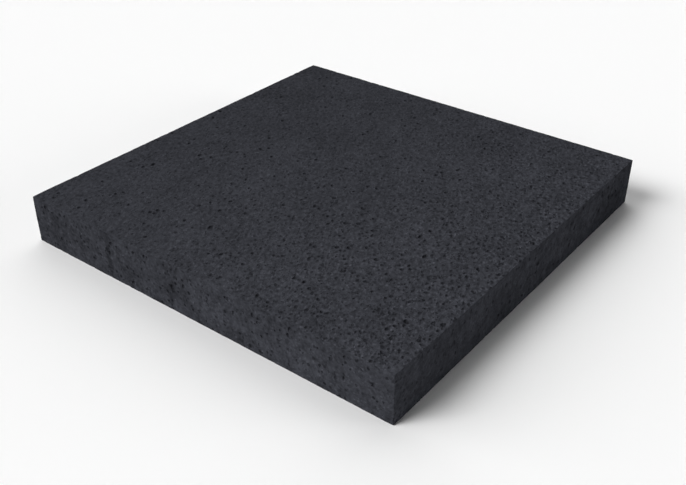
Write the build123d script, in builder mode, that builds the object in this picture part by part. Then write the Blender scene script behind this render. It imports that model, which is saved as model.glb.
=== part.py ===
"""A square concrete paving slab, cast as one piece, lying on its bed face with the wearing face up.

The origin is at the middle of the bed face, X and Y run along the sides and Z points out of the wearing face.
"""

import os

from build123d import *

# Plan and thickness, in millimetres
SLAB_LENGTH = 600.0  # along X
SLAB_WIDTH = 600.0  # along Y
SLAB_THICKNESS = 70.0  # from the bed face to the wearing face

# Radii of the softened edges, in millimetres
CORNER_RADIUS = 1.0  # the four upright corners
FACE_ARRIS_RADIUS = 0.8  # the rim of the wearing face
BED_ARRIS_RADIUS = 0.8  # the rim of the bed face

# One cast solid: the plan is drawn on the bed face, raised to the thickness, and its two rims are softened
with BuildPart() as slab:
    with BuildSketch(Plane.XY) as plan:
        Rectangle(SLAB_LENGTH, SLAB_WIDTH)
        fillet(plan.vertices(), radius=CORNER_RADIUS)
    extrude(amount=SLAB_THICKNESS)
    wearing_face = slab.faces().sort_by(Axis.Z)[-1]
    fillet(wearing_face.edges(), radius=FACE_ARRIS_RADIUS)
    bed_face = slab.faces().sort_by(Axis.Z)[0]
    fillet(bed_face.edges(), radius=BED_ARRIS_RADIUS)

slab.part.label = "slab"

os.makedirs("parts", exist_ok=True)
export_step(slab.part, "parts/slab.step")
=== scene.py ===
"""Dresses a concrete paving slab: pitted faces, lightly nicked edges, dark concrete and a pale studio floor.

The file is laid out as an add-on. Property groups hold what a user would change, one operator casts the
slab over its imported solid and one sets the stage. Lengths are in metres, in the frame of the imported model.
"""

import math

import bmesh
import bpy
import numpy as np
from bpy.props import FloatProperty, FloatVectorProperty, IntProperty, PointerProperty
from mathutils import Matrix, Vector
from mathutils.geometry import delaunay_2d_cdt


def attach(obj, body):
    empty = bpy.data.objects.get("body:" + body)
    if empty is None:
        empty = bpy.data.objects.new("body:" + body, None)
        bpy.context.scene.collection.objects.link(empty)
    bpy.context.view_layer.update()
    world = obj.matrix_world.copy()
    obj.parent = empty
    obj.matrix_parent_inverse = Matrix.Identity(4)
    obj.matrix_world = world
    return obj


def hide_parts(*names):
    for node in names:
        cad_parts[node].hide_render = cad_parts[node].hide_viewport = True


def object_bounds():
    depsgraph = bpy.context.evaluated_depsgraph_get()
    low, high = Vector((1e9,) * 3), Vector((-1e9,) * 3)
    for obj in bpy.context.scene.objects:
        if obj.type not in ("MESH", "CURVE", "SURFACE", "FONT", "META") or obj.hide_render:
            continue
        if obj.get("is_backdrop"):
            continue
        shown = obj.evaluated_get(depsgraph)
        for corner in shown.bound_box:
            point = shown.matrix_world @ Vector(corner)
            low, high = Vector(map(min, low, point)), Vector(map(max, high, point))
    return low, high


bl_info = {
    "name": "Concrete Paving Slab",
    "version": (1, 0, 0),
    "blender": (4, 5, 0),
    "location": "3D View > Sidebar > Paving",
    "description": "Casts a pitted concrete paving slab over its packed solid and sets a pale stage for it",
    "category": "Add Mesh",
}

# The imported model
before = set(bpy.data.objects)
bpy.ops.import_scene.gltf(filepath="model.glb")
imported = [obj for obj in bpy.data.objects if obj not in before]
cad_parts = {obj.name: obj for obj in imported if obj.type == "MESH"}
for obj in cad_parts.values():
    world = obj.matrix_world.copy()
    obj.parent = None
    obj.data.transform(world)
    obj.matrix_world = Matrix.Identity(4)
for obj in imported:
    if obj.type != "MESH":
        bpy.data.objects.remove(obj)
CAD_LOW, CAD_HIGH = (np.array(corner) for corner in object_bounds())
FRONT, RIGHT = float(CAD_LOW[1]), float(CAD_HIGH[0])
SLAB_NODE = "slab"
SLAB_BODY = "root"
MM_IN_METRE = 1000

# The slab's six faces: outward normal, the two directions that flat places are counted along, and finish
FACES = {
    "wearing_face": ((0, 0, 1), (1, 0, 0), (0, 1, 0), "wearing"),
    "bed_face": ((0, 0, -1), (1, 0, 0), (0, -1, 0), "bed"),
    "front_joint_face": ((0, -1, 0), (1, 0, 0), (0, 0, 1), "joint"),
    "right_joint_face": ((1, 0, 0), (0, 1, 0), (0, 0, 1), "joint"),
    "back_joint_face": ((0, 1, 0), (-1, 0, 0), (0, 0, 1), "joint"),
    "left_joint_face": ((-1, 0, 0), (0, -1, 0), (0, 0, 1), "joint"),
}
FINISHES = ("wearing", "bed", "joint")

# Where each face lies on the square texture map: left, bottom and width, as shares of the map
BAKE_MAP = "OFBake"
BAKE_PLACES = {
    "wearing_face": (0.005, 0.005, 0.655),
    "bed_face": (0.67, 0.005, 0.32),
    "front_joint_face": (0.005, 0.67, 0.655),
    "right_joint_face": (0.005, 0.753, 0.655),
    "back_joint_face": (0.005, 0.836, 0.655),
    "left_joint_face": (0.005, 0.919, 0.655),
}

# Which part of the surface a mesh face belongs to; shading breaks where two of them meet
FLAT_PART, PIT_PART, RIM_PART = 0, 1, 2

# First numbers of the random streams that corners, edges and faces draw from
CORNER_STREAM, EDGE_STREAM, FACE_STREAM = 0, 100, 1000

# Edges
CORNER_SPREAD = (0.8, 1.5)  # smallest and largest corner radius, as shares of the mean
ARRIS_WAVES = (0.006, 0.09, 6)  # shortest and longest wave along an edge, and how many
ARRIS_WANDER = 0.16  # height of each wave as a share of the mean width
NICK_REACH = (0.0012, 0.0035)  # shortest and longest half length of a nick
NICK_POWER = 0.6  # under 1, so that most nicks are shallow
CORNER_EASE = 0.012  # length over which an edge comes out of the corner's radius
RIM_ANGLES = (0.0, 22.5, 45.0)  # degrees round the softened edge, from the face to the middle of the edge

# Pits
PIT_POWER = 2.5  # how fast pits grow rarer with their radius
PIT_OVAL = 0.25  # greatest ovalness of a thrown pit
PIT_LEAN = 100.0  # mean turn of a thrown pit's length, in degrees
PIT_LOBES = 0.09  # greatest three-sided swell of a rim, as a share of the radius
PIT_REACH = 1.1  # reach of a round pit's rim with its swell, as a share of the radius
PIT_GAP = 0.0004  # flat concrete left between neighbouring pits and beside the rim
RING_WOBBLE = (0.92, 1.08)  # spread of a ring's points along the radius
DEPTH_WOBBLE = (0.88, 1.06)  # spread of a ring's points in depth
SHALLOW_SHARE, SHALLOW_SPREAD = 0.12, 0.68  # share of the full depth of the shallowest pits, and its spread
SHALLOW_RADIUS = 0.0012  # radius over which a pit begins to be deeper
FILL_WHOLE = 0  # the kind of triangulation that covers everything within the outermost points
FILL_DISTANCE = 1e-9  # points of the flat that are nearer than this are taken as one
WELD_DISTANCE = 2e-6  # points of two patches that are nearer than this are joined

# The large pits that give the slab its face, given one by one: place along and across from the face's middle,
# length and width in millimetres, and the turn of the length in degrees
LARGE_PITS = {
    "wearing_face": (
        (74, -51, 8, 7, 0),
        (92, -86, 7, 6.5, 0),
        (103, -92, 5.5, 5, 0),
        (117, -88, 6.5, 5, 90),
        (19, -85, 8, 6, 120),
        (49, -95, 6.5, 5.5, 110),
        (26, -53, 7, 5, 20),
        (172, -63, 10, 4.5, 95),
        (202, -97, 10, 6, 80),
        (178, -111, 6.5, 5, 110),
        (117, -139, 8, 5.5, 145),
        (159, -139, 7.5, 6.5, 90),
        (172, -145, 5.5, 5, 0),
        (258, -219, 9.5, 7, 145),
        (294, -199, 7.5, 7, 0),
        (283, -203, 6.5, 5.5, 90),
        (286, -125, 5.5, 5, 0),
        (261, -197, 6, 4.5, 100),
        (46, -188, 6, 4.5, 30),
        (36, -282, 6, 5.5, 0),
        (31, -221, 5.5, 4.5, 120),
        (-240, -136, 10, 5.5, 95),
        (-246, -150, 7, 5.5, 100),
        (-53, -209, 9, 6.5, 90),
        (-138, -221, 7, 6.5, 0),
        (-130, -217, 5.5, 5, 90),
        (-150, -5, 8, 5.5, 150),
        (-190, -69, 7.5, 5.5, 130),
        (-111, -108, 6, 5, 140),
        (-216, -226, 6, 5, 150),
        (-211, -217, 5, 4.5, 0),
        (-274, -284, 6, 5, 0),
        (-50, -24, 6, 5, 140),
        (-12, 25, 7, 6, 0),
        (9, 31, 6.5, 5.5, 60),
        (192, 250, 8, 6, 90),
        (191, 235, 6, 5, 0),
        (-168, 172, 7, 6, 0),
        (-165, 30, 7, 5.5, 120),
        (-210, 255, 6, 5, 0),
        (84, 229, 7, 5.5, 60),
        (131, 222, 6.5, 5, 100),
        (-15, 211, 7, 5, 150),
        (-26, 193, 6, 5, 120),
        (-15, 258, 6, 5, 0),
        (14, 285, 6, 5.5, 0),
        (130, 276, 7, 5, 170),
        (134, 152, 5.5, 5, 0),
        (154, 151, 7, 5, 100),
        (102, 98, 7, 5, 50),
        (184, 92, 6, 5.5, 0),
        (198, 89, 7, 4.5, 110),
        (-190, 90, 9, 5, 130),
        (-125, 162, 6.5, 4.5, 130),
        (-60, 128, 7, 4.5, 110),
        (46, 70, 6, 5, 0),
        (290, 112, 6, 5, 0),
        (254, 174, 5.5, 5, 0),
        (270, 226, 6, 5, 0),
        (-254, 148, 6, 5, 0),
        (-214, 120, 5.5, 4.5, 120),
        (78, 88, 7, 4.5, 110),
        (36, 102, 6, 4.5, 100),
        (-44, 238, 6, 5, 0),
        (295, -211, 6, 4.5, 80),
        (296, -141, 5, 4.5, 0),
        (276, -185, 5.5, 4, 110),
        (273, -166, 5, 4, 90),
        (243, -149, 5.5, 4, 120),
        (244, -160, 5, 4.5, 0),
        (187, -157, 5, 5, 0),
        (243, -258, 5.5, 4, 120),
        (285, -54, 6, 4.5, 170),
        (295, 10, 8, 4, 110),
        (265, -26, 5, 5, 0),
        (244, -23, 5, 4, 100),
        (257, -40, 6, 4, 100),
        (230, -57, 5, 4, 120),
        (295, -26, 6, 4.5, 160),
        (265, -133, 5.5, 4.5, 120),
        (294, -35, 4.5, 4, 0),
        (105, -147, 7, 6, 70),
        (113, -150, 5.5, 4.5, 150),
        (155, -246, 6, 4.5, 150),
        (118, -279, 5, 4.5, 0),
        (95, -283, 5, 4.5, 0),
        (175, -271, 5, 4.5, 0),
        (144, -272, 6, 4, 110),
        (121, -238, 5, 4.5, 90),
        (152, -293, 6, 4, 160),
        (113, -285, 5.5, 5, 0),
        (65, -202, 5.5, 5, 100),
        (128, -162, 5.5, 4.5, 130),
    ),
    "front_joint_face": (
        (-274, 27, 7, 5, 70),
        (-259, 23, 7, 5, 20),
        (-232, 14, 6, 5, 30),
        (-203, 7, 7, 6.5, 0),
        (-141, 21, 8, 6, 0),
        (-130, 20, 6, 5, 0),
        (-78, 27, 6, 5.5, 0),
        (-32, 1, 9, 6, 100),
        (-11, 11, 7, 5, 70),
        (-106, -24, 8, 6, 30),
        (62, 26, 10, 4, 5),
        (102, 20, 7, 5, 100),
        (158, 26, 9, 4.5, 80),
        (167, 26, 5.5, 4.5, 90),
        (216, 14, 6, 5, 0),
        (72, 10, 6, 4.5, 90),
    ),
    "right_joint_face": (
        (-276, 1, 5, 4.5, 60),
        (-251, 29, 6.5, 4.5, 105),
        (-238, 27, 6.5, 4, 150),
        (-223, 21, 5, 4.5, 0),
        (-208, -18, 6, 5, 130),
        (-185, 5, 6.5, 5.5, 120),
        (-180, -13, 6, 4.5, 120),
        (-140, 20, 6, 5, 120),
        (-137, 31, 6, 4.5, 150),
        (-126, -22, 6, 5, 150),
        (-114, 9, 6.5, 5, 130),
        (-113, 27, 4.5, 4, 0),
        (-100, 12, 6, 5, 120),
        (-82, -19, 6, 5, 150),
        (-76, -4, 6, 5, 120),
        (-69, 19, 7, 5.5, 110),
        (-55, -14, 7, 5.5, 150),
        (-28, -7, 7, 4.5, 110),
        (-22, -24, 6, 4.5, 150),
        (-13, 26, 6.5, 5.5, 120),
        (5, 18, 6.5, 4.5, 150),
        (14, 6, 8, 6, 150),
        (31, -3, 5, 4, 120),
        (62, -21, 6, 4.5, 150),
        (98, -1, 6.5, 4.5, 150),
        (107, -13, 6.5, 5.5, 110),
        (138, 30, 6, 4.5, 130),
        (218, 26, 7, 4.5, 140),
        (226, 6, 8.5, 4.5, 100),
        (250, 5, 6, 5, 120),
        (256, -4, 6, 5, 120),
    ),
}

# Pits by size: the smallest radius of the class, corners round the rim, and rings as shares of the radius
PIT_CLASSES = (
    (0.0, 8, (1.0, 0.62)),
    (0.0016, 11, (1.0, 0.8, 0.45)),
    (0.0024, 16, (1.0, 0.9, 0.68, 0.36)),
)

# The pits of each finish. For thrown ones, stray is how far they lean from their mean turn, in radians, and
# crowd how strongly they gather to the far end along and across the face, where 1 is evenly and less is to
# the near end. For all pits, small is how deep small ones go beside large ones, and growth the growth in
# radius up to full depth
PIT_HABITS = {
    "wearing": {"stray": 0.5, "crowd": (1.2, 0.85), "small": 1.0, "growth": 0.0022},
    "bed": {"stray": 3.0, "crowd": (1.0, 1.0), "small": 1.0, "growth": 0.003},
    "joint": {"stray": 3.0, "crowd": (1.0, 1.7), "small": 0.6, "growth": 0.003},
}

# The concrete of each finish: its brightness, the sizes and strengths of its tone, and the strength of its
# grain. Stretch is the direction its texture is drawn out in, in degrees, and how much along and across it.
# Next comes the strength of grain and spots as painted light: a direction, two places along it, and the
# strength at each, so that the texture stands out more where the light catches it and less on the shaded side.
# Spots are kinds of spots with their brightness, relief and spread; the darkening of the dark kinds is painted
# shade in pores. Last come the painted shade in a pit, which grows with its depth, and the strength of streaks
LOOKS = {
    "wearing": {
        "brightness": 0.98,
        "tone": {
            "Cloud Size": 0.07,
            "Cloud Strength": 0.5,
            "Blotch Size": 0.012,
            "Blotch Strength": 0.3,
            "Grain Size": 0.0049,
        },
        "grain": 1.3,
        "stretch": (118.0, 1.35, 1.0),
        "light_contrast": ((1.0, -0.2, 0.0), -0.1, 0.3, 0.88, 1.42),
        "spots": (
            (-0.42, -1.0, {"Spacing": 0.0062, "Radius": 0.0020, "Share": 0.7}),
            (-0.36, -0.6, {"Spacing": 0.0041, "Radius": 0.0014, "Share": 0.65}),
            (0.43, 0.3, {"Spacing": 0.0041, "Radius": 0.0014, "Share": 0.9}),
        ),
        "pit_painted_shade": -0.8,
        "streaks": 0.0,
    },
    "bed": {
        "brightness": 0.95,
        "tone": {
            "Cloud Size": 0.09,
            "Cloud Strength": 0.5,
            "Blotch Size": 0.02,
            "Blotch Strength": 0.35,
            "Grain Size": 0.0045,
        },
        "grain": 1.2,
        "stretch": (0.0, 1.0, 1.0),
        "light_contrast": ((1.0, 0.0, 0.0), -0.3, 0.3, 1.0, 1.0),
        "spots": (
            (-0.5, -1.0, {"Spacing": 0.0080, "Radius": 0.0016, "Share": 0.5}),
            (0.4, 0.3, {"Spacing": 0.0045, "Radius": 0.0011, "Share": 0.5}),
        ),
        "pit_painted_shade": -0.3,
        "streaks": 0.0,
    },
    "joint": {
        "brightness": 0.905,
        "tone": {
            "Cloud Size": 0.05,
            "Cloud Strength": 0.5,
            "Blotch Size": 0.011,
            "Blotch Strength": 1.0,
            "Grain Size": 0.0046,
        },
        "grain": 1.14,
        "stretch": (0.0, 1.0, 1.0),
        "light_contrast": ((0.0, 1.0, 0.0), -0.3, -0.28, 1.0, 0.65),
        "spots": (
            (-0.62, -1.0, {"Spacing": 0.0075, "Radius": 0.0022, "Share": 0.7}),
            (0.5, 0.3, {"Spacing": 0.0048, "Radius": 0.0014, "Share": 0.5}),
        ),
        "pit_painted_shade": -0.08,
        "streaks": 0.35,
    },
}

# Stains in the concrete of the sides: middle, reach along X, Y and Z in metres, and brightness
STAINS = (
    ((-0.150, FRONT, 0.046), (0.0065, 0.02, 0.075), -0.40),
    ((-0.036, FRONT, 0.033), (0.022, 0.02, 0.022), -0.30),
    ((-0.255, FRONT, 0.040), (0.050, 0.02, 0.040), -0.12),
    ((-0.115, FRONT, 0.028), (0.040, 0.02, 0.020), -0.15),
    ((0.045, FRONT, 0.027), (0.050, 0.02, 0.018), 0.12),
    ((0.190, FRONT, 0.025), (0.050, 0.02, 0.015), 0.12),
    ((RIGHT, 0.235, 0.026), (0.02, 0.055, 0.032), -0.30),
    ((RIGHT, -0.075, 0.030), (0.02, 0.045, 0.030), -0.12),
    ((RIGHT, -0.230, 0.050), (0.02, 0.100, 0.060), -0.10),
)

# Painted light: change of brightness in a metre along X, Y and Z, brighter towards +X and -Y as if more light
# fell there
PAINTED_LIGHT_DRIFT = (0.22, -0.28, 0.0)

# Noise: its mean, and how fine and rough it is in each place
NOISE_MEAN = 0.5
NOISE_ROUGHNESS = 0.5
TONE_DETAIL, TONE_ROUGHNESS = 2.0, 0.55
STAIN_DETAIL = 2.0
SPOT_DETAIL = 1.0
STREAK_DETAIL = 3.0

# Fine texture; a scale counts ripples in a metre
SAND_RELIEF = 0.35  # height of sand beside that of grain
STAIN_SCALE, STAIN_RIPPLE = 120.0, 1.6  # ripples of a stain's outline, and their strength beside its reach
STAIN_EDGE = (1.2, 0.2)  # where a stain begins and where it is full, as shares of its reach
SPOT_SCALE, SPOT_RIPPLE = 420.0, 0.0026  # ripples of a spot's outline, and how far they shift it
SPOT_LEAST = 0.5  # the smallest spot's radius beside the mean one's
SPOT_CORE = 0.45  # share of the radius within which a spot is full
SPOT_WEAKEST = 0.2  # strength of the weakest spot beside the strongest
SPOT_SHIFT = (0.37, 0.51)  # how far the next kind of spots is moved, so that kinds don't fall on each other
STREAK_SCALE = 90.0
STREAK_STRETCH = (1.0, 1.0, 0.08)  # slow change along Z, so that streaks run down
ROUGHNESS_SWING = 0.2  # difference in roughness between the bottom and the top of the grain
BUMP_STRENGTH = 0.8
BUMP_DISTANCE = 0.0010  # height of the texture in metres

# Soft distant lights: azimuth from +X, elevation and width in degrees, and strength on a surface facing them
LIGHTS = {
    "key_light": (240, 42, 30, 0.72),
    "low_left_light": (215, 11, 50, 0.64),
    "low_right_light": (30, 5, 36, 0.49),
    "back_light": (126, 41, 70, 0.42),
    "low_back_light": (128, 13, 34, 0.04),
}
WHITE = (1.0, 1.0, 1.0, 1.0)


class SlabShape(bpy.types.PropertyGroup):
    """Sizes of the slab's edges and pits."""

    arris: FloatProperty(
        name="Arris", description="Mean width of the softened edges", default=0.0007, unit="LENGTH"
    )
    corner: FloatProperty(
        name="Corner", description="Mean radius at the eight corners", default=0.0010, unit="LENGTH"
    )
    rim_step: FloatProperty(
        name="Rim Step", description="Distance between points along the edges", default=0.0022, unit="LENGTH"
    )
    nicks: IntProperty(name="Nicks", description="Small chips in each metre of edge", default=30)
    nick_depth: FloatProperty(
        name="Nick Depth", description="Greatest depth of a chip", default=0.0013, unit="LENGTH"
    )
    wearing_pits: IntProperty(
        name="Wearing Face Pits", description="Pits in a square metre of the wearing face", default=4000
    )
    joint_pits: IntProperty(
        name="Joint Face Pits", description="Pits in a square metre of the four sides", default=3000
    )
    bed_pits: IntProperty(
        name="Bed Face Pits", description="Pits in a square metre of the underside", default=500
    )
    wearing_depth: FloatProperty(
        name="Wearing Face Depth",
        description="Depth of the deepest pits as a share of their radius",
        default=0.56,
    )
    joint_depth: FloatProperty(
        name="Joint Face Depth",
        description="Depth of the deepest pits as a share of their radius",
        default=0.62,
    )
    bed_depth: FloatProperty(
        name="Bed Face Depth",
        description="Depth of the deepest pits as a share of their radius",
        default=0.7,
    )
    pit_smallest: FloatProperty(
        name="Smallest Pit", description="Radius of the smallest modelled pit", default=0.0012, unit="LENGTH"
    )
    pit_largest: FloatProperty(
        name="Largest Pit", description="Radius of the largest scattered pit", default=0.0032, unit="LENGTH"
    )
    seed: IntProperty(name="Seed", description="Start of the random numbers", default=11)


class SlabFinish(bpy.types.PropertyGroup):
    """Colours of the concrete."""

    cement: FloatVectorProperty(
        name="Cement",
        description="Colour of the pigmented cement",
        subtype="COLOR",
        size=3,
        default=(0.0375, 0.0390, 0.0465),
    )
    roughness: FloatProperty(
        name="Roughness", description="Mean roughness of the dry concrete", default=0.85, subtype="FACTOR"
    )
    sheen: FloatProperty(
        name="Sheen",
        description="Strength of the concrete's dull reflection",
        default=0.005,
        subtype="FACTOR",
    )


class SlabStage(bpy.types.PropertyGroup):
    """Camera, floor and light."""

    azimuth: FloatProperty(
        name="Azimuth",
        description="Camera's turn about the slab from the front",
        default=math.radians(37.782),
        subtype="ANGLE",
    )
    elevation: FloatProperty(
        name="Elevation",
        description="Camera's height above the horizon",
        default=math.radians(32.564),
        subtype="ANGLE",
    )
    distance: FloatProperty(
        name="Distance", description="Camera's distance from its aim", default=1.2792, unit="LENGTH"
    )
    aim: FloatVectorProperty(
        name="Aim",
        description="Point of the floor that the camera looks at",
        size=3,
        default=(0.0365, -0.0472, 0.0),
        subtype="TRANSLATION",
        unit="LENGTH",
    )
    lens: FloatProperty(name="Lens", description="Focal length in millimetres", default=48.32, unit="CAMERA")
    floor_size: FloatProperty(
        name="Floor Size", description="Width of the square floor", default=12.0, unit="LENGTH"
    )
    floor_colour: FloatVectorProperty(
        name="Floor",
        description="Colour that the floor throws back on the slab",
        subtype="COLOR",
        size=3,
        default=(0.8, 0.8, 0.8),
    )
    dome: FloatProperty(name="Dome", description="Strength of the even light all round", default=0.006)
    backdrop: FloatProperty(
        name="Backdrop", description="Brightness of what is seen beyond the floor", default=0.965
    )


def face_frame(name):
    """A face's centre, its two flat directions, its outward normal and its half lengths along the two."""
    normal, along, across = (np.array(direction, float) for direction in FACES[name][:3])
    size = CAD_HIGH - CAD_LOW
    centre = (CAD_LOW + CAD_HIGH) / 2 + normal * (size @ np.abs(normal)) / 2
    half = np.array([size @ np.abs(along), size @ np.abs(across)]) / 2
    return centre, along, across, normal, half


def in_space(name, flat, depth):
    """Points of space for flat places on a face and depths under it.

    A flat place (a, b) at a depth d is centre + a along + b across - d normal.
    """
    centre, along, across, normal, _ = face_frame(name)
    return centre + flat[..., :1] * along + flat[..., 1:] * across - depth[..., None] * normal


def number_of(*normals):
    """A number for the edge or corner where these normals meet: their sum's axes as digits in base three."""
    return int((np.sum(normals, axis=0) + 1) @ (1, 3, 9))


def corner_radius(shape, *normals):
    """Radius of the rounded corner between three faces: the mean radius times a random share."""
    rng = np.random.default_rng((shape.seed, CORNER_STREAM + number_of(*normals)))
    return shape.corner * rng.uniform(*CORNER_SPREAD)


def arris_width(shape, edge, place, length, ends):
    """Width of a softened edge at places counted from its middle.

    The mean width is waved by sines of several lengths, and nicks are added as flat-topped bells,
    depth times exp(-(distance / reach) ** 4). Towards both ends it eases into the corner radius.
    """
    rng = np.random.default_rng((shape.seed, EDGE_STREAM + edge))
    waves = np.geomspace(*ARRIS_WAVES)[:, None]
    phases = rng.uniform(0, 2 * np.pi, waves.shape)
    wander = 1 + ARRIS_WANDER * np.sin(2 * np.pi * place / waves + phases).sum(axis=0)
    count = int(shape.nicks * length)
    middles = rng.uniform(-length / 2, length / 2, (count, 1))
    reach = rng.uniform(*NICK_REACH, (count, 1))
    depth = shape.nick_depth * rng.power(NICK_POWER, (count, 1))
    nicks = (depth * np.exp(-(((place - middles) / reach) ** 4))).max(axis=0)
    free = np.clip(np.minimum(place - place[0], place[-1] - place) / CORNER_EASE, 0, 1)
    ease = free**2 * (3 - 2 * free)
    corner = np.where(place < 0, ends[0], ends[1])
    return corner + ease * (shape.arris * wander + nicks - corner)


def rim_band(shape, name):
    """The half of the softened edges that belongs to a face, as a grid, and the face's flat boundary.

    The grid has columns round the face and a row for each angle t on the quarter round of width w between
    the face and its neighbour: edge - w (1 - sin t) neighbour normal - w (1 - cos t) own normal. Each corner
    adds one column on the ball of the corner's radius, from the face to the middle of the corner.
    """
    centre, along, across, normal, half = face_frame(name)
    sides = ((along, -across), (across, along), (-along, across), (-across, -along))
    reaches = (half[1], half[0], half[1], half[0])
    angles = np.radians(RIM_ANGLES)[:, None]
    columns = []
    boundary = []
    for side, (forward, neighbour) in enumerate(sides):
        before, after = sides[side - 1][1], sides[(side + 1) % 4][1]
        length = 2 * half[side % 2]
        ends = [corner_radius(shape, normal, neighbour, other) for other in (before, after)]
        count = int(length / shape.rim_step) + 1
        place = np.linspace(ends[0] - length / 2, length / 2 - ends[1], count)
        direction = 1 if forward.sum() > 0 else -1
        order = slice(None, None, direction)
        edge = number_of(normal, neighbour)
        width = arris_width(shape, edge, (place * direction)[order], length, ends[order])[order]
        line = centre + reaches[side] * neighbour + place[:, None] * forward
        inward = (1 - np.sin(angles)) * neighbour + (1 - np.cos(angles)) * normal
        column = line[:, None] - width[:, None, None] * inward
        corner = centre + reaches[side] * neighbour + length / 2 * forward
        ball = corner - ends[1] * (neighbour + forward + normal)
        middle = (normal + neighbour + after) / math.sqrt(3)
        spread = np.array([normal, (normal + middle) / np.linalg.norm(normal + middle), middle])
        columns += [column, (ball + ends[1] * spread)[None]]
        boundary.append(column[:-1, 0])
    rim = np.concatenate(boundary) - centre
    return np.concatenate(columns), np.stack([rim @ along, rim @ across], axis=-1)


def scatter_pits(shape, rng, name):
    """The pits of a face as centres, radii, ovalness and turn: large listed ones, then thrown ones.

    Of the thrown pits, the share over a radius r falls with r to the power of PIT_POWER between the smallest
    and the largest. One that touches an earlier pit is left out, and none comes nearer to the rim than the
    deepest nick.
    """
    half = face_frame(name)[4]
    finish = FACES[name][3]
    habits = PIT_HABITS[finish]
    along, across, length, width, lean = np.array(LARGE_PITS.get(name, ()), float).reshape(-1, 5).T
    count = int(getattr(shape, finish + "_pits") * 4 * half[0] * half[1])
    low, high = shape.pit_smallest**-PIT_POWER, shape.pit_largest**-PIT_POWER
    thrown = np.sort((high + (low - high) * rng.uniform(0, 1, count)) ** (-1 / PIT_POWER))[::-1]
    radius = np.concatenate([(length + width) / (4 * MM_IN_METRE), thrown])
    oval = np.concatenate([(length - width) / (length + width), rng.uniform(0, PIT_OVAL, count)])
    turn = np.concatenate([np.radians(lean), rng.normal(np.radians(PIT_LEAN), habits["stray"], count)])
    reach = radius * (PIT_REACH + oval)
    room = half - reach[:, None] - shape.nick_depth - shape.arris - PIT_GAP
    spread = 1 - 2 * rng.uniform(0, 1, (count, 2)) ** habits["crowd"]
    placed = np.stack([along, across], axis=-1) / MM_IN_METRE
    centre = np.clip(np.concatenate([placed, spread * room[len(placed):]]), -room, room)
    apart = np.linalg.norm(centre[:, None] - centre[None], axis=-1)
    touch = apart < reach[:, None] + reach[None] + PIT_GAP
    keep = ~np.tril(touch, -1).any(axis=1)
    return centre[keep], radius[keep], oval[keep], turn[keep]


def sink_pits(rng, centre, radius, oval, turn, deepest, habits, corners, rings):
    """Pits of one class as arrays: rim and inner rings, then one bottom point for each pit.

    The rim is radius (1 + oval cos 2(t - turn) + lobes cos 3(t - t3)) round the centre, and a ring at a share
    s of it lies at a depth of deep sqrt(1 - s squared), so a pit is the lower part of a lopsided bubble. Most
    small pits are shallow and a few are deep. Returns flat places, depths and depths as shares of the radius,
    each with pits first and points second, and the quads and triangles of one pit.
    """
    count = len(radius)
    angle = np.arange(corners) / corners * 2 * np.pi + rng.uniform(0, 2 * np.pi, (count, 1))
    lobes = rng.uniform(0, PIT_LOBES, (count, 1)) * np.cos(3 * (angle - rng.uniform(0, np.pi, (count, 1))))
    rim = radius[:, None] * (1 + oval[:, None] * np.cos(2 * (angle - turn[:, None])) + lobes)
    share = np.array(rings)[None, :, None] * np.ones((count, 1, corners))
    share[:, 1:] *= rng.uniform(*RING_WOBBLE, share[:, 1:].shape)
    reach = rim[:, None] * share
    around = np.stack([np.cos(angle), np.sin(angle)], axis=-1)[:, None]
    flat = centre[:, None, None] + reach[..., None] * around
    sunk = np.sqrt(1 - np.array(rings) ** 2)[None, :, None] * np.ones_like(share)
    sunk[:, 1:] *= rng.uniform(*DEPTH_WOBBLE, share[:, 1:].shape)
    flat = np.concatenate([flat.reshape(count, -1, 2), centre[:, None]], axis=1)
    sunk = np.concatenate([sunk.reshape(count, -1), np.ones((count, 1))], axis=1)
    chance = habits["small"] * (SHALLOW_SHARE + SHALLOW_SPREAD * rng.uniform(0, 1, count) ** 2)
    sunk *= deepest * np.clip(chance + (radius - SHALLOW_RADIUS) / habits["growth"], 0, 1)[:, None]
    ring = np.arange(len(rings) * corners).reshape(len(rings), corners)
    onward = np.roll(ring, -1, axis=1)
    quads = np.stack([ring[:-1], onward[:-1], onward[1:], ring[1:]], axis=-1).reshape(-1, 4)
    bottom = np.full(corners, len(rings) * corners)
    triangles = np.stack([ring[-1], onward[-1], bottom], axis=-1)
    return flat, sunk * radius[:, None], sunk, quads, triangles


def flat_fill(boundary, rims):
    """Points and triangles of the flat between a face's boundary and the rims of its pits.

    The points are the boundary's and then the rims', in their order.
    """
    loops = [np.arange(len(boundary))]
    for rim in rims:
        start = loops[-1].max() + 1
        loops += list(start + np.arange(rim.shape[0] * rim.shape[1]).reshape(rim.shape[:2]))
    points = np.concatenate([boundary] + [rim.reshape(-1, 2) for rim in rims])
    places = [Vector(point) for point in points]
    outlines = [loop.tolist() for loop in loops]
    made, _, faces, _, _, inside = delaunay_2d_cdt(places, [], outlines, FILL_WHOLE, FILL_DISTANCE)
    if len(made) != len(points):
        raise RuntimeError("The rims of two pits cross, so the face can't be filled")
    return points, np.array([face for face, owners in zip(faces, inside) if len(owners) == 1])


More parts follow.
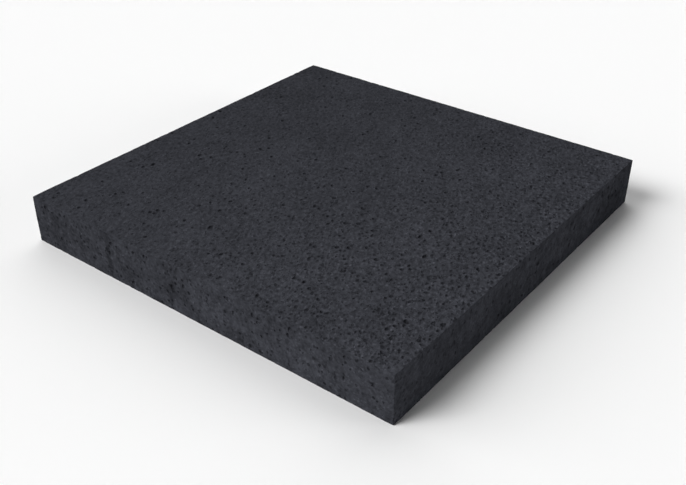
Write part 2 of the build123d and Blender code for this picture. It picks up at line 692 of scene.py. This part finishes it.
def cast_face(shape, name):
    """One face of the slab with its pits and its half of the softened edges, as a list of patches.

    A patch is points in space, flat places on the face, depth shares, mesh faces and the part they belong to.
    """
    centre, along, across, _, _ = face_frame(name)
    finish = FACES[name][3]
    rng = np.random.default_rng((shape.seed, FACE_STREAM + list(FACES).index(name)))
    grid, boundary = rim_band(shape, name)
    rows = grid.shape[1]
    number = np.arange(grid.shape[0] * rows).reshape(-1, rows)
    onward = np.roll(number, -1, axis=0)
    quads = np.stack([number[:, :-1], number[:, 1:], onward[:, 1:], onward[:, :-1]], axis=-1)
    band = grid.reshape(-1, 3)
    band_flat = np.stack([(band - centre) @ along, (band - centre) @ across], axis=-1)
    patches = [(band, band_flat, np.zeros(len(band)), [quads.reshape(-1, 4)], RIM_PART)]
    pits = scatter_pits(shape, rng, name)
    depth_habits = getattr(shape, finish + "_depth"), PIT_HABITS[finish]
    limits = [limit for limit, _, _ in PIT_CLASSES] + [math.inf]
    rims = []
    for (least, corners, rings), most in zip(PIT_CLASSES, limits[1:]):
        mine = (pits[1] >= least) & (pits[1] < most)
        chosen = [values[mine] for values in pits]
        flat, depth, sunk, quads, triangles = sink_pits(rng, *chosen, *depth_habits, corners, rings)
        rims.append(flat[:, :corners])
        first = (np.arange(len(flat)) * flat.shape[1])[:, None, None]
        faces = [(first + quads).reshape(-1, 4), (first + triangles).reshape(-1, 3)]
        points = in_space(name, flat, depth)
        patches.append((points.reshape(-1, 3), flat.reshape(-1, 2), sunk.ravel(), faces, PIT_PART))
    flat, triangles = flat_fill(boundary, rims)
    level = np.zeros(len(flat))
    patches.append((in_space(name, flat, level), flat, level, [triangles], FLAT_PART))
    return patches


def bake_place(name, flat):
    """Places on the square texture map for flat places on a face, all faces upright and side by side."""
    left, bottom, width = BAKE_PLACES[name]
    half = face_frame(name)[4]
    return np.array([left, bottom]) + (flat + half) * width / (2 * half[0])


def slab_mesh(shape):
    """The whole slab as one closed mesh, with depth shares, parts, material numbers and the texture map."""
    points, sunk, places, corners, sizes, parts, finishes = [], [], [], [], [], [], []
    first = 0
    for name in FACES:
        finish = FINISHES.index(FACES[name][3])
        for space, flat, depth, face_arrays, part in cast_face(shape, name):
            points.append(space)
            sunk.append(depth)
            place = bake_place(name, flat)
            for faces in face_arrays:
                corners.append(first + faces.ravel())
                places.append(place[faces.ravel()])
                sizes.append(np.full(len(faces), faces.shape[1]))
                parts.append(np.full(len(faces), part))
                finishes.append(np.full(len(faces), finish))
            first += len(space)
    points, corners, sizes = np.concatenate(points), np.concatenate(corners), np.concatenate(sizes)
    mesh = bpy.data.meshes.new("slab_concrete")
    mesh.vertices.add(len(points))
    mesh.vertices.foreach_set("co", np.clip(points, CAD_LOW, CAD_HIGH).astype(np.float32).ravel())
    mesh.loops.add(len(corners))
    mesh.loops.foreach_set("vertex_index", corners.astype(np.int32))
    mesh.polygons.add(len(sizes))
    mesh.polygons.foreach_set("loop_start", (np.cumsum(sizes) - sizes).astype(np.int32))
    mesh.polygons.foreach_set("material_index", np.concatenate(finishes).astype(np.int32))
    mesh.update(calc_edges=True)
    depths = mesh.attributes.new("sunk", "FLOAT", "POINT")
    depths.data.foreach_set("value", np.concatenate(sunk).astype(np.float32))
    kinds = mesh.attributes.new("part", "INT", "FACE")
    kinds.data.foreach_set("value", np.concatenate(parts).astype(np.int32))
    layer = mesh.uv_layers.new(name=BAKE_MAP)
    layer.uv.foreach_set("vector", np.concatenate(places).astype(np.float32).ravel())
    weld(mesh)
    crease(mesh)
    return mesh


def weld(mesh):
    """Joins the patches where their points coincide, and stops if the slab isn't closed."""
    work = bmesh.new()
    work.from_mesh(mesh)
    bmesh.ops.remove_doubles(work, verts=work.verts, dist=WELD_DISTANCE)
    work.to_mesh(mesh)
    work.free()
    uses = np.zeros(len(mesh.loops), np.int32)
    mesh.loops.foreach_get("edge_index", uses)
    if not (np.bincount(uses, minlength=len(mesh.edges)) == 2).all():
        raise RuntimeError("The slab's surface isn't closed")


def crease(mesh):
    """Smooth shading inside each part of the surface, and a sharp edge where two parts meet."""
    sizes = np.zeros(len(mesh.polygons), np.int32)
    mesh.polygons.foreach_get("loop_total", sizes)
    part = np.zeros(len(mesh.polygons), np.int32)
    mesh.attributes["part"].data.foreach_get("value", part)
    edge = np.zeros(len(mesh.loops), np.int32)
    mesh.loops.foreach_get("edge_index", edge)
    beside = np.repeat(part, sizes)
    least = np.full(len(mesh.edges), RIM_PART)
    most = np.full(len(mesh.edges), FLAT_PART)
    np.minimum.at(least, edge, beside)
    np.maximum.at(most, edge, beside)
    mesh.polygons.foreach_set("use_smooth", np.ones(len(sizes), bool))
    mesh.edges.foreach_set("use_edge_sharp", least != most)


def add_node(tree, kind, inputs=None, **settings):
    """A new node with its settings, and each input filled with a value or linked to a socket."""
    made = tree.nodes.new(kind)
    for key, value in settings.items():
        setattr(made, key, value)
    for key, value in (inputs or {}).items():
        if isinstance(value, bpy.types.NodeSocket):
            tree.links.new(value, made.inputs[key])
        else:
            made.inputs[key].default_value = value
    return made


def group_node(tree, group, inputs):
    """The outputs of a node group placed in a material with its own values."""
    return add_node(tree, "ShaderNodeGroup", inputs, node_tree=group).outputs


def maths(tree, operation, first, second=0.0, third=0.0):
    """The output of a Math node."""
    made = add_node(tree, "ShaderNodeMath", {0: first, 1: second, 2: third}, operation=operation)
    return made.outputs["Value"]


def vector_maths(tree, operation, *operands):
    """The output of a Vector Math node: a number for a length or a dot product, and otherwise a vector."""
    made = add_node(tree, "ShaderNodeVectorMath", dict(enumerate(operands)), operation=operation)
    return made.outputs["Value" if operation in ("LENGTH", "DOT_PRODUCT") else "Vector"]


def noise(tree, place, scale, detail, roughness=NOISE_ROUGHNESS):
    """The outputs of a Noise Texture node."""
    inputs = {"Vector": place, "Scale": scale, "Detail": detail, "Roughness": roughness}
    return add_node(tree, "ShaderNodeTexNoise", inputs).outputs


def soft_step(tree, value, outer, inner):
    """0 at the outer value and 1 at the inner one, with a smooth step between them."""
    inputs = {"Value": value, "From Min": outer, "From Max": inner}
    return add_node(tree, "ShaderNodeMapRange", inputs, interpolation_type="SMOOTHSTEP").outputs["Result"]


def tinted(tree, shade, mask, strength):
    """A shade times (1 + mask times strength)."""
    return maths(tree, "MULTIPLY", shade, maths(tree, "MULTIPLY_ADD", mask, strength, 1.0))


def new_group(name, inputs, outputs):
    """An empty shader node group with named sockets, and its input and output nodes."""
    tree = bpy.data.node_groups.new(name, "ShaderNodeTree")
    for key, kind, default in inputs:
        socket = tree.interface.new_socket(key, in_out="INPUT", socket_type=kind)
        if default is not None:
            socket.default_value = default
    for key, kind in outputs:
        tree.interface.new_socket(key, in_out="OUTPUT", socket_type=kind)
    return tree, tree.nodes.new("NodeGroupInput").outputs, tree.nodes.new("NodeGroupOutput").inputs


def cement_tone_group():
    """Clouds, blotches, grain and sand in the cement as a factor round 1, and grain with sand as a height."""
    tree, given, result = new_group(
        "Cement Tone",
        (
            ("Vector", "NodeSocketVector", None),
            ("Brightness", "NodeSocketFloat", 1.0),
            ("Cloud Size", "NodeSocketFloat", 0.08),
            ("Cloud Strength", "NodeSocketFloat", 0.3),
            ("Blotch Size", "NodeSocketFloat", 0.012),
            ("Blotch Strength", "NodeSocketFloat", 0.3),
            ("Grain Size", "NodeSocketFloat", 0.004),
            ("Grain Strength", "NodeSocketFloat", 1.0),
            ("Sand Size", "NodeSocketFloat", 0.0011),
            ("Sand Strength", "NodeSocketFloat", 0.6),
        ),
        (("Tone", "NodeSocketFloat"), ("Grain", "NodeSocketFloat")),
    )
    tone = given["Brightness"]
    noises = {}
    for layer in ("Cloud", "Blotch", "Grain", "Sand"):
        scale = maths(tree, "DIVIDE", 1.0, given[layer + " Size"])
        noises[layer] = noise(tree, given["Vector"], scale, TONE_DETAIL, TONE_ROUGHNESS)["Fac"]
        swing = maths(tree, "SUBTRACT", noises[layer], NOISE_MEAN)
        tone = maths(tree, "MULTIPLY_ADD", swing, given[layer + " Strength"], tone)
    height = maths(tree, "MULTIPLY_ADD", noises["Sand"], SAND_RELIEF, noises["Grain"])
    tree.links.new(tone, result["Tone"])
    tree.links.new(height, result["Grain"])
    return tree


def stain_group():
    """A soft stain: 1 away from it, and its brightness added towards its middle, with a ragged outline."""
    tree, given, result = new_group(
        "Stain",
        (
            ("Vector", "NodeSocketVector", None),
            ("Middle", "NodeSocketVector", (0.0, 0.0, 0.0)),
            ("Reach", "NodeSocketVector", (0.05, 0.05, 0.05)),
            ("Brightness", "NodeSocketFloat", -0.2),
        ),
        (("Tone", "NodeSocketFloat"),),
    )
    away = vector_maths(tree, "SUBTRACT", given["Vector"], given["Middle"])
    share = vector_maths(tree, "LENGTH", vector_maths(tree, "DIVIDE", away, given["Reach"]))
    ripple = noise(tree, given["Vector"], STAIN_SCALE, STAIN_DETAIL)["Fac"]
    ripple = maths(tree, "SUBTRACT", ripple, NOISE_MEAN)
    inside = soft_step(tree, maths(tree, "MULTIPLY_ADD", ripple, STAIN_RIPPLE, share), *STAIN_EDGE)
    tree.links.new(maths(tree, "MULTIPLY_ADD", inside, given["Brightness"], 1.0), result["Tone"])
    return tree


def spots_group():
    """Ragged spots scattered in a plane, such as air pores or sand grains: 0 outside and up to 1 inside."""
    tree, given, result = new_group(
        "Spots",
        (
            ("Vector", "NodeSocketVector", None),
            ("Spacing", "NodeSocketFloat", 0.004),
            ("Radius", "NodeSocketFloat", 0.001),
            ("Share", "NodeSocketFloat", 0.5),
        ),
        (("Spots", "NodeSocketFloat"),),
    )
    ripple = noise(tree, given["Vector"], SPOT_SCALE, SPOT_DETAIL)["Color"]
    ragged = vector_maths(tree, "MULTIPLY_ADD", ripple, (SPOT_RIPPLE, SPOT_RIPPLE, 0.0), given["Vector"])
    inputs = {"Vector": ragged, "Scale": maths(tree, "DIVIDE", 1.0, given["Spacing"])}
    cells = add_node(tree, "ShaderNodeTexVoronoi", inputs, voronoi_dimensions="2D").outputs
    chance = add_node(tree, "ShaderNodeSeparateColor", {"Color": cells["Color"]}).outputs
    distance = maths(tree, "MULTIPLY", cells["Distance"], given["Spacing"])
    radius = maths(tree, "MULTIPLY", given["Radius"], maths(tree, "ADD", chance["Red"], SPOT_LEAST))
    inside = soft_step(tree, distance, radius, maths(tree, "MULTIPLY", radius, SPOT_CORE))
    present = maths(tree, "LESS_THAN", chance["Green"], given["Share"])
    few_strong = maths(tree, "POWER", chance["Blue"], 2.0)
    few_strong = maths(tree, "MULTIPLY_ADD", few_strong, 1.0 - SPOT_WEAKEST, SPOT_WEAKEST)
    strength = maths(tree, "MULTIPLY", present, few_strong)
    tree.links.new(maths(tree, "MULTIPLY", inside, strength), result["Spots"])
    return tree


def texture_light_contrast(tree, look, place):
    """Strength of grain and spots as painted light, which changes evenly between two places along a direction.
    """
    direction, start, end, low, high = look["light_contrast"]
    reach = vector_maths(tree, "DOT_PRODUCT", place, direction)
    inputs = {"Value": reach, "From Min": start, "From Max": end, "To Min": low, "To Max": high}
    return add_node(tree, "ShaderNodeMapRange", inputs).outputs["Result"]


def drawn_place(tree, look, place):
    """Places for a texture that is drawn out in one direction of the slab's plan."""
    turn, length, width = look["stretch"]
    inputs = {"Vector": place, "Rotation": (0.0, 0.0, math.radians(turn)), "Scale": (length, width, 1.0)}
    return add_node(tree, "ShaderNodeMapping", inputs, vector_type="TEXTURE").outputs["Vector"]


def side_place(tree, place):
    """Flat places on the four sides: the way round the slab and the height."""
    axes = add_node(tree, "ShaderNodeSeparateXYZ", {"Vector": place}).outputs
    around = maths(tree, "ADD", axes["X"], axes["Y"])
    return add_node(tree, "ShaderNodeCombineXYZ", {"X": around, "Y": axes["Z"]}).outputs["Vector"]


def streaked(tree, shade, strength, groups, place):
    """A shade with fine streaks that run down the sides, and with the stains."""
    slow = vector_maths(tree, "MULTIPLY", place, STREAK_STRETCH)
    runs = noise(tree, slow, STREAK_SCALE, STREAK_DETAIL)["Fac"]
    shade = tinted(tree, shade, maths(tree, "SUBTRACT", runs, NOISE_MEAN), strength)
    for middle, reach, brightness in STAINS:
        inputs = {"Vector": place, "Middle": middle, "Reach": reach, "Brightness": brightness}
        shade = maths(tree, "MULTIPLY", shade, group_node(tree, groups["stain"], inputs)["Tone"])
    return shade


def concrete_material(name, finish, groups):
    """Dark concrete: cement colour times tone, spots, streaks, stains and painted shade in pits; grain and
    spots as bump.
    """
    look = LOOKS[name]
    material = bpy.data.materials.new(name + "_concrete")
    material.use_nodes = True
    tree = material.node_tree
    shader = tree.nodes["Principled BSDF"]
    place = add_node(tree, "ShaderNodeTexCoord").outputs["Object"]
    # painted light: grain and spots stand out more where the light catches them and less on the shaded side
    light_contrast = texture_light_contrast(tree, look, place)
    drawn = drawn_place(tree, look, place)
    # painted light: a drift of brightness across the slab, higher towards +X and -Y
    painted_light_drift = vector_maths(tree, "DOT_PRODUCT", place, PAINTED_LIGHT_DRIFT)
    inputs = {
        "Vector": drawn,
        "Brightness": maths(tree, "ADD", painted_light_drift, look["brightness"]),
        "Grain Strength": maths(tree, "MULTIPLY", light_contrast, look["grain"]),
        **look["tone"],
    }
    tone = group_node(tree, groups["tone"], inputs)
    shade, height = tone["Tone"], tone["Grain"]
    flat = side_place(tree, place) if name == "joint" else drawn
    # the darkening of the dark spots is painted shade in pores; the light spots are sand grains
    for number, (strength, relief, spots) in enumerate(look["spots"]):
        moved = vector_maths(tree, "ADD", flat, (SPOT_SHIFT[0] * number, SPOT_SHIFT[1] * number, 0.0))
        mask = group_node(tree, groups["spots"], {"Vector": moved, **spots})["Spots"]
        mask = maths(tree, "MULTIPLY", mask, light_contrast)
        shade = tinted(tree, shade, mask, strength)
        height = maths(tree, "MULTIPLY_ADD", mask, relief, height)
    if look["streaks"]:
        shade = streaked(tree, shade, look["streaks"], groups, place)
    # painted shade in the pits, darker the deeper the point lies
    sunk = add_node(tree, "ShaderNodeAttribute", attribute_name="sunk").outputs["Fac"]
    shade = tinted(tree, shade, sunk, look["pit_painted_shade"])
    inputs = {0: tuple(finish.cement), "Scale": shade}
    colour = add_node(tree, "ShaderNodeVectorMath", inputs, operation="SCALE")
    tree.links.new(colour.outputs["Vector"], shader.inputs["Base Color"])
    dull = maths(tree, "MULTIPLY_ADD", tone["Grain"], ROUGHNESS_SWING, finish.roughness - ROUGHNESS_SWING / 2)
    tree.links.new(dull, shader.inputs["Roughness"])
    inputs = {"Height": height, "Strength": BUMP_STRENGTH, "Distance": BUMP_DISTANCE}
    bump = add_node(tree, "ShaderNodeBump", inputs)
    tree.links.new(bump.outputs["Normal"], shader.inputs["Normal"])
    shader.inputs["Specular IOR Level"].default_value = finish.sheen
    return material


def background_seen(tree):
    """1 for rays that show the background to the eye, straight or by gloss or glass, and 0 for others."""
    path = add_node(tree, "ShaderNodeLightPath").outputs
    seen = maths(tree, "MAXIMUM", path["Is Camera Ray"], path["Is Glossy Ray"])
    return maths(tree, "MAXIMUM", seen, path["Is Transmission Ray"])


def floor_material(stage):
    """A pale matt floor that is white to the eye and keeps the slab's shadow."""
    material = bpy.data.materials.new("studio_floor")
    material.use_nodes = True
    tree = material.node_tree
    tree.nodes.clear()
    shares = {"Factor": background_seen(tree), "A": (*stage.floor_colour, 1.0), "B": WHITE}
    colour = add_node(tree, "ShaderNodeMix", shares, data_type="RGBA")
    shader = add_node(tree, "ShaderNodeBsdfDiffuse", {"Color": colour.outputs["Result"]})
    add_node(tree, "ShaderNodeOutputMaterial", {"Surface": shader.outputs["BSDF"]})
    return material


class PAVING_OT_cast_slab(bpy.types.Operator):
    """Cast the slab: pitted faces and softened edges in place of the plain solid"""

    bl_idname = "paving.cast_slab"
    bl_label = "Cast Slab"

    def execute(self, context):
        scene = context.scene
        mesh = slab_mesh(scene.slab_shape)
        groups = {"tone": cement_tone_group(), "spots": spots_group(), "stain": stain_group()}
        for name in FINISHES:
            mesh.materials.append(concrete_material(name, scene.slab_finish, groups))
        slab = bpy.data.objects.new("paving_slab", mesh)
        scene.collection.objects.link(slab)
        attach(slab, SLAB_BODY)
        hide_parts(SLAB_NODE)
        return {"FINISHED"}


class PAVING_OT_set_stage(bpy.types.Operator):
    """Set the stage: pale floor, soft light and the camera"""

    bl_idname = "paving.set_stage"
    bl_label = "Set Stage"

    def execute(self, context):
        scene = context.scene
        stage = scene.slab_stage
        self.lay_floor(scene, stage)
        self.hang_lights(scene)
        self.light_world(scene, stage)
        self.place_camera(scene, stage)
        scene.view_settings.view_transform = "Standard"
        return {"FINISHED"}

    def lay_floor(self, scene, stage):
        """A square floor under the slab."""
        half = stage.floor_size / 2
        corners = ((-half, -half), (half, -half), (half, half), (-half, half))
        mesh = bpy.data.meshes.new("studio_floor")
        mesh.from_pydata([(x, y, CAD_LOW[2]) for x, y in corners], [], [(0, 1, 2, 3)])
        mesh.materials.append(floor_material(stage))
        floor = bpy.data.objects.new("studio_floor", mesh)
        scene.collection.objects.link(floor)
        floor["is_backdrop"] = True

    def hang_lights(self, scene):
        """The distant lights, each turned to shine from its azimuth and elevation."""
        for name, (azimuth, elevation, width, strength) in LIGHTS.items():
            lamp = bpy.data.lights.new(name, "SUN")
            lamp.angle = math.radians(width)
            lamp.energy = math.pi * strength
            turn, rise = math.radians(azimuth), math.radians(elevation)
            level = math.cos(rise)
            towards = Vector((math.cos(turn) * level, math.sin(turn) * level, math.sin(rise)))
            light = bpy.data.objects.new(name, lamp)
            light.rotation_euler = towards.to_track_quat("Z", "Y").to_euler()
            scene.collection.objects.link(light)

    def light_world(self, scene, stage):
        """An even dome of light that looks as bright as the floor."""
        scene.world = bpy.data.worlds.new("studio_dome")
        scene.world.use_nodes = True
        tree = scene.world.node_tree
        tree.nodes.clear()
        strength = maths(tree, "MULTIPLY_ADD", background_seen(tree), stage.backdrop - stage.dome, stage.dome)
        dome = add_node(tree, "ShaderNodeBackground", {"Color": WHITE, "Strength": strength})
        add_node(tree, "ShaderNodeOutputWorld", {"Surface": dome.outputs["Background"]})

    def place_camera(self, scene, stage):
        """Camera on a sphere round its aim."""
        level = math.cos(stage.elevation)
        back = Vector(
            (math.sin(stage.azimuth) * level, -math.cos(stage.azimuth) * level, math.sin(stage.elevation))
        )
        lens = bpy.data.cameras.new("camera")
        lens.lens = stage.lens
        camera = bpy.data.objects.new("camera", lens)
        camera.location = Vector(stage.aim) + stage.distance * back
        camera.rotation_euler = back.to_track_quat("Z", "Y").to_euler()
        scene.collection.objects.link(camera)
        scene.camera = camera


class PAVING_PT_panel(bpy.types.Panel):
    """Sidebar panel with the slab's sizes, finish and stage"""

    bl_label = "Paving Slab"
    bl_space_type = "VIEW_3D"
    bl_region_type = "UI"
    bl_category = "Paving"

    def draw(self, context):
        scene = context.scene
        for group, operator in (
            (scene.slab_shape, None),
            (scene.slab_finish, PAVING_OT_cast_slab),
            (scene.slab_stage, PAVING_OT_set_stage),
        ):
            box = self.layout.box()
            for key in group.__annotations__:
                box.prop(group, key)
            if operator:
                box.operator(operator.bl_idname)


CLASSES = (SlabShape, SlabFinish, SlabStage, PAVING_OT_cast_slab, PAVING_OT_set_stage, PAVING_PT_panel)


def register():
    for item in CLASSES:
        bpy.utils.register_class(item)
    bpy.types.Scene.slab_shape = PointerProperty(type=SlabShape)
    bpy.types.Scene.slab_finish = PointerProperty(type=SlabFinish)
    bpy.types.Scene.slab_stage = PointerProperty(type=SlabStage)


def unregister():
    del bpy.types.Scene.slab_stage
    del bpy.types.Scene.slab_finish
    del bpy.types.Scene.slab_shape
    for item in reversed(CLASSES):
        bpy.utils.unregister_class(item)


def main():
    """Registers the add-on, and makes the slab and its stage."""
    register()
    bpy.ops.paving.cast_slab()
    bpy.ops.paving.set_stage()


if __name__ == "__main__":
    main()
